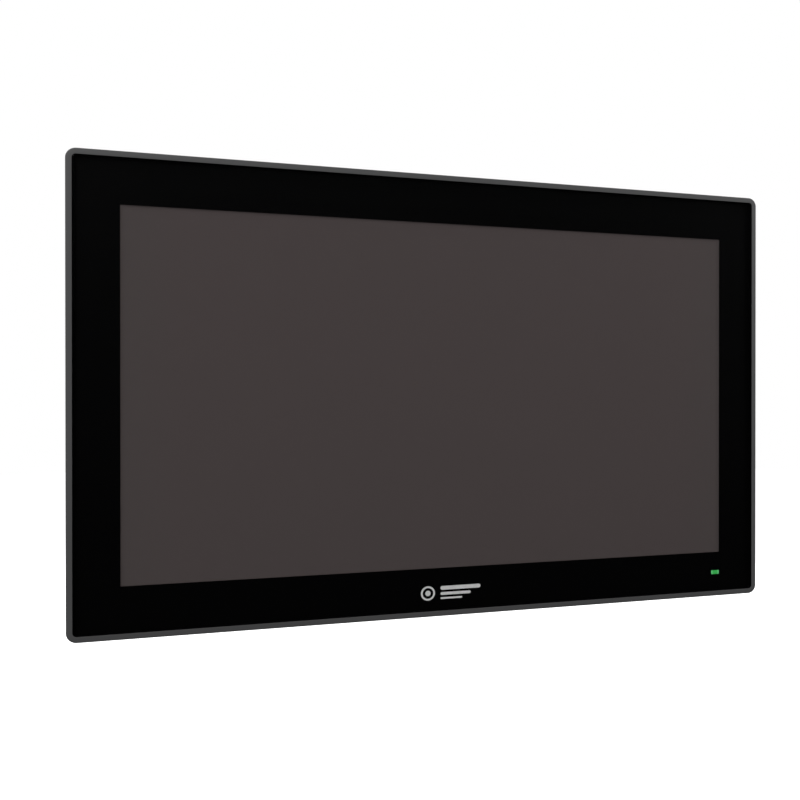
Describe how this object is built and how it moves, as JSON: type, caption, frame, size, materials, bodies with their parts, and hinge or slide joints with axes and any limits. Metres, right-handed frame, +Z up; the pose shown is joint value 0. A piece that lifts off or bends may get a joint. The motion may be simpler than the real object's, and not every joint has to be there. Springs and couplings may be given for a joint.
{
  "type": "hmi touch panel",
  "caption": "Flush-mounted industrial touch panel: slim-framed cover glass over a wide display, with a fanless controller box and wall clamps on its back.",
  "frame": {"origin": "centre of the wall cut-out, in the plane of the bezel's rear face", "axes": "+X to the right and +Z up as seen from the front; the glass faces -Y and the controller box is on the +Y side"},
  "size_m": [0.5476, 0.077, 0.3438],
  "materials": {
    "bezel_paint": "fine textured dark grey powder coat",
    "cover_glass": "anti-glare etched",
    "black_print": "black ceramic ink on the back of the glass",
    "black_tape": "foam tape",
    "sensor_film": "clear conductive film, dark as seen over the display",
    "light_green": "lit green lens",
    "plated_steel": "zinc plated sheet",
    "lcd_dark": "polariser, switched off",
    "white_film": "diffusing film",
    "clear_acrylic": "polished acrylic",
    "cast_frame": "as cast",
    "gasket_rubber": "closed cell foam rubber",
    "circuit_board": "green solder mask",
    "flex_film": "polyimide film",
    "screw_steel": "nickel plated",
    "box_paint": "dark powder coat",
    "cast_black": "black coated cast aluminium",
    "standoff_brass": "turned",
    "chip_black": "moulded package with a bare die",
    "spreader_metal": "milled",
    "dark_plastic": "fine grained",
    "card_grey": "moulded",
    "port_shell": "nickel plated shell",
    "green_plastic": "moulded",
    "red_plastic": "moulded",
    "pale_plastic": "moulded",
    "clamp_cast": "die cast, dark coated",
    "foot_plastic": "moulded nylon"
  },
  "bodies": {
    "panel": {"bezel_frame": "bezel_paint", "cover_glass": "cover_glass", "border_print": "black_print", "glass_tape": "black_tape", "touch_sensor": "sensor_film", "status_light": "light_green", "lcd_front_frame": "plated_steel", "lcd_cell": "lcd_dark", "diffuser_stack": "white_film", "light_guide": "clear_acrylic", "lcd_back_tray": "plated_steel", "lcd_brackets": "plated_steel", "support_frame": "cast_frame", "panel_gasket": "gasket_rubber", "rear_chassis": "plated_steel", "touch_controller": "circuit_board", "display_cable": "flex_film", "chassis_screws": "screw_steel", "pan_screws": "screw_steel", "box_base": "box_paint", "heatsink_cover": "cast_black", "cover_screws": "screw_steel", "main_board": "circuit_board", "board_standoffs": "standoff_brass", "processor": "chip_black", "heat_spreader": "spreader_metal", "memory_module": "circuit_board", "backup_battery": "screw_steel", "card_cage": "dark_plastic", "storage_card": "card_grey", "door_hinge_pin": "screw_steel", "ethernet_ports": "port_shell", "usb_ports": "port_shell", "video_port": "port_shell", "serial_port": "port_shell", "power_header": "green_plastic", "header_nuts": "standoff_brass", "switch_housing": "dark_plastic", "ground_screw": "standoff_brass", "clamp_bodies": "clamp_cast"},
    "door": {"storage_door": "dark_plastic"},
    "rocker": {"switch_rocker": "red_plastic"},
    "button": {"reset_button": "pale_plastic"},
    "foot_1": {"clamp_foot_1": "foot_plastic"},
    "screw_1": {"clamp_screw_1": "screw_steel"},
    "foot_2": {"clamp_foot_2": "foot_plastic"},
    "screw_2": {"clamp_screw_2": "screw_steel"},
    "foot_3": {"clamp_foot_3": "foot_plastic"},
    "screw_3": {"clamp_screw_3": "screw_steel"},
    "foot_4": {"clamp_foot_4": "foot_plastic"},
    "screw_4": {"clamp_screw_4": "screw_steel"},
    "foot_5": {"clamp_foot_5": "foot_plastic"},
    "screw_5": {"clamp_screw_5": "screw_steel"},
    "foot_6": {"clamp_foot_6": "foot_plastic"},
    "screw_6": {"clamp_screw_6": "screw_steel"},
    "foot_7": {"clamp_foot_7": "foot_plastic"},
    "screw_7": {"clamp_screw_7": "screw_steel"},
    "foot_8": {"clamp_foot_8": "foot_plastic"},
    "screw_8": {"clamp_screw_8": "screw_steel"}
  },
  "joints": [
    {"name": "clamp_foot_1_slide", "type": "slide", "parent": "panel", "child": "foot_1", "axis": [0, -1, 0], "range_m": [0, 0.0055]},
    {"name": "clamp_screw_1_turn", "type": "hinge", "parent": "foot_1", "child": "screw_1", "pos_m": [-0.19, 0.009, 0.1663], "axis": [0, -1, 0], "range_deg": [0, 2829]},
    {"name": "clamp_foot_2_slide", "type": "slide", "parent": "panel", "child": "foot_2", "axis": [0, -1, 0], "range_m": [0, 0.0055]},
    {"name": "clamp_screw_2_turn", "type": "hinge", "parent": "foot_2", "child": "screw_2", "pos_m": [0, 0.009, 0.1663], "axis": [0, -1, 0], "range_deg": [0, 2829]},
    {"name": "clamp_foot_3_slide", "type": "slide", "parent": "panel", "child": "foot_3", "axis": [0, -1, 0], "range_m": [0, 0.0055]},
    {"name": "clamp_screw_3_turn", "type": "hinge", "parent": "foot_3", "child": "screw_3", "pos_m": [0.19, 0.009, 0.1663], "axis": [0, -1, 0], "range_deg": [0, 2829]},
    {"name": "clamp_foot_4_slide", "type": "slide", "parent": "panel", "child": "foot_4", "axis": [0, -1, 0], "range_m": [0, 0.0055]},
    {"name": "clamp_screw_4_turn", "type": "hinge", "parent": "foot_4", "child": "screw_4", "pos_m": [0.19, 0.009, -0.1663], "axis": [0, -1, 0], "range_deg": [0, 2829]},
    {"name": "clamp_foot_5_slide", "type": "slide", "parent": "panel", "child": "foot_5", "axis": [0, -1, 0], "range_m": [0, 0.0055]},
    {"name": "clamp_screw_5_turn", "type": "hinge", "parent": "foot_5", "child": "screw_5", "pos_m": [0, 0.009, -0.1663], "axis": [0, -1, 0], "range_deg": [0, 2829]},
    {"name": "clamp_foot_6_slide", "type": "slide", "parent": "panel", "child": "foot_6", "axis": [0, -1, 0], "range_m": [0, 0.0055]},
    {"name": "clamp_screw_6_turn", "type": "hinge", "parent": "foot_6", "child": "screw_6", "pos_m": [-0.19, 0.009, -0.1663], "axis": [0, -1, 0], "range_deg": [0, 2829]},
    {"name": "clamp_foot_7_slide", "type": "slide", "parent": "panel", "child": "foot_7", "axis": [0, -1, 0], "range_m": [0, 0.0055]},
    {"name": "clamp_screw_7_turn", "type": "hinge", "parent": "foot_7", "child": "screw_7", "pos_m": [-0.2683, 0.009, 0], "axis": [0, -1, 0], "range_deg": [0, 2829]},
    {"name": "clamp_foot_8_slide", "type": "slide", "parent": "panel", "child": "foot_8", "axis": [0, -1, 0], "range_m": [0, 0.0055]},
    {"name": "clamp_screw_8_turn", "type": "hinge", "parent": "foot_8", "child": "screw_8", "pos_m": [0.2683, 0.009, 0], "axis": [0, -1, 0], "range_deg": [0, 2829]},
    {"name": "storage_door_hinge", "type": "hinge", "parent": "panel", "child": "door", "pos_m": [0.1432, 0.055, 0.01], "axis": [0, 0, 1], "range_deg": [0, 120]},
    {"name": "rocker_turn", "type": "hinge", "parent": "panel", "child": "rocker", "pos_m": [-0.08, 0.044, -0.1034], "axis": [0, 1, 0], "range_deg": [0, 16]},
    {"name": "reset_press", "type": "slide", "parent": "panel", "child": "button", "axis": [0, 0, 1], "range_m": [0, 0.0006], "stiffness_N_per_m": 1000}
  ],
  "couplings": [
    {"joint": "clamp_screw_1_turn", "follows": "clamp_foot_1_slide", "rad_per_m": 8976},
    {"joint": "clamp_screw_2_turn", "follows": "clamp_foot_2_slide", "rad_per_m": 8976},
    {"joint": "clamp_screw_3_turn", "follows": "clamp_foot_3_slide", "rad_per_m": 8976},
    {"joint": "clamp_screw_4_turn", "follows": "clamp_foot_4_slide", "rad_per_m": 8976},
    {"joint": "clamp_screw_5_turn", "follows": "clamp_foot_5_slide", "rad_per_m": 8976},
    {"joint": "clamp_screw_6_turn", "follows": "clamp_foot_6_slide", "rad_per_m": 8976},
    {"joint": "clamp_screw_7_turn", "follows": "clamp_foot_7_slide", "rad_per_m": 8976},
    {"joint": "clamp_screw_8_turn", "follows": "clamp_foot_8_slide", "rad_per_m": 8976}
  ]
}
